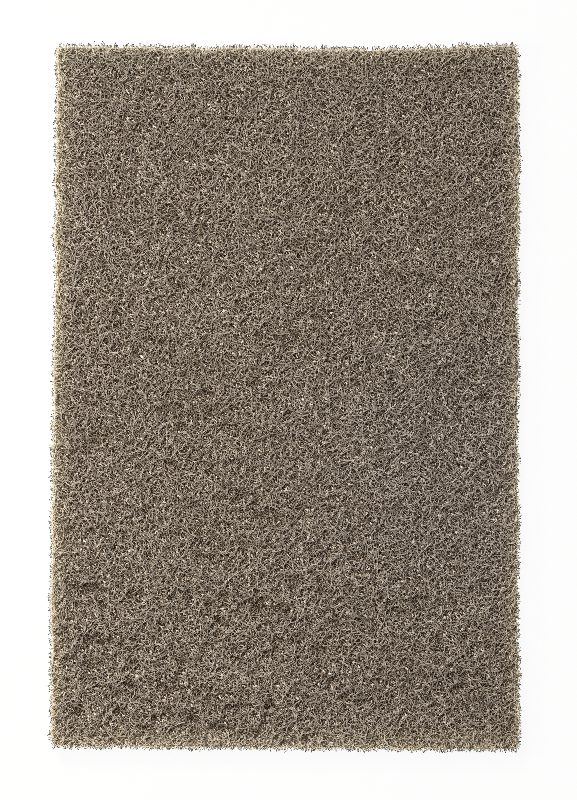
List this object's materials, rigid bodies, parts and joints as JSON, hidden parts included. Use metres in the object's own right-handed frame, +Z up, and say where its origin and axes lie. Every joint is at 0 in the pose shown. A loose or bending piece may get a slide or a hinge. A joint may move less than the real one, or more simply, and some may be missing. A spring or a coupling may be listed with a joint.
{
  "type": "abrasive hand pad",
  "caption": "Flat rectangular pad cut from a springy non-woven web of crimped fibres, with abrasive mineral bonded to the fibres. Rubbed over a surface by hand to scour or finish it.",
  "frame": {"origin": "middle of the pad's footprint, on the surface that it lies on", "axes": "+Z up out of the upper face, +Y along the pad's length to its far end, +X across it to the right"},
  "size_m": [0.1529, 0.2293, 0.008],
  "materials": {
    "bonded_fibre": "tan crimped nylon fibre coated with resin and fine mineral, matt with small glints"
  },
  "bodies": {
    "root": {"abrasive_web": "bonded_fibre"}
  },
  "joints": []
}
